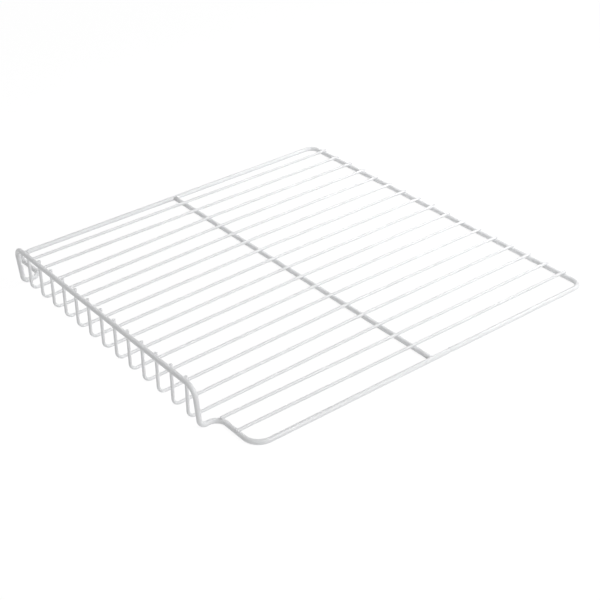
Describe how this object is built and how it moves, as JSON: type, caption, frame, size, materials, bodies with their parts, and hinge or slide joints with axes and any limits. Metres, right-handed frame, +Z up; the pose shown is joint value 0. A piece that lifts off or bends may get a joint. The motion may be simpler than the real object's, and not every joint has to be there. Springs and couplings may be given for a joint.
{
  "type": "refrigerator wire shelf",
  "caption": "White coated wire shelf for a refrigerator: a bent frame wire with a raised lip, a support wire across the middle, and deck wires that turn up behind the lip.",
  "frame": {"origin": "in the plane that the frame stands on, below the middle of the shelf's outline", "axes": "+X across the shelf, +Y from the raised lip to the back run, +Z up"},
  "size_m": [0.519, 0.505, 0.0545],
  "materials": {
    "white_coating": "smooth semi-gloss white coating over steel wire"
  },
  "bodies": {
    "root": {"frame_wire": "white_coating", "mid_support_wire": "white_coating", "deck_wire_01": "white_coating", "deck_wire_02": "white_coating", "deck_wire_03": "white_coating", "deck_wire_04": "white_coating", "deck_wire_05": "white_coating", "deck_wire_06": "white_coating", "deck_wire_07": "white_coating", "deck_wire_08": "white_coating", "deck_wire_09": "white_coating", "deck_wire_10": "white_coating", "deck_wire_11": "white_coating", "deck_wire_12": "white_coating", "deck_wire_13": "white_coating", "deck_wire_14": "white_coating", "deck_wire_15": "white_coating", "deck_wire_16": "white_coating", "deck_wire_17": "white_coating"}
  },
  "joints": []
}
